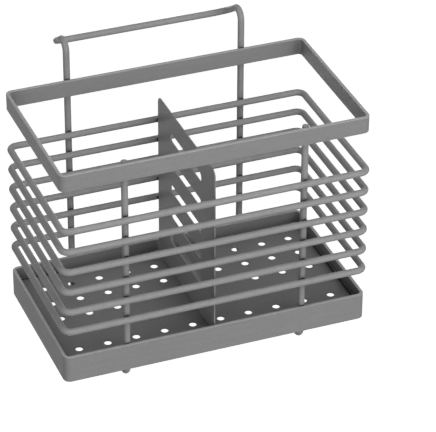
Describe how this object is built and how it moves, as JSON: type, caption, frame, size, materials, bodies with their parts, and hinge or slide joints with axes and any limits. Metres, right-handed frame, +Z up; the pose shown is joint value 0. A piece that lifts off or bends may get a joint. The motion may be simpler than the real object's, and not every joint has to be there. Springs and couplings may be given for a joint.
{
  "type": "wall-mounted cutlery holder",
  "caption": "Hanging cutlery holder: a perforated tray with a flat rim, stacked wire rings, a flat top band, a slotted divider and a bent wire with hooks for a rail.",
  "frame": {"origin": "middle of the line on which the insides of the two hooks rest on a rail", "axes": "+X to the right along the rail, +Y towards the wall behind the basket, +Z up"},
  "size_m": [0.1816, 0.1289, 0.1645],
  "materials": {
    "flat_bar": "satin grey powder coat on flat steel bar",
    "wire": "satin grey powder coat on round steel wire",
    "sheet": "satin grey powder coat on steel sheet"
  },
  "bodies": {
    "root": {"top_band": "flat_bar", "wire_ring_1": "wire", "wire_ring_2": "wire", "wire_ring_3": "wire", "wire_ring_4": "wire", "wire_ring_5": "wire", "wire_ring_6": "wire", "base_rim": "flat_bar", "floor_plate": "sheet", "divider_plate": "sheet", "hanger_wire": "wire"}
  },
  "joints": []
}
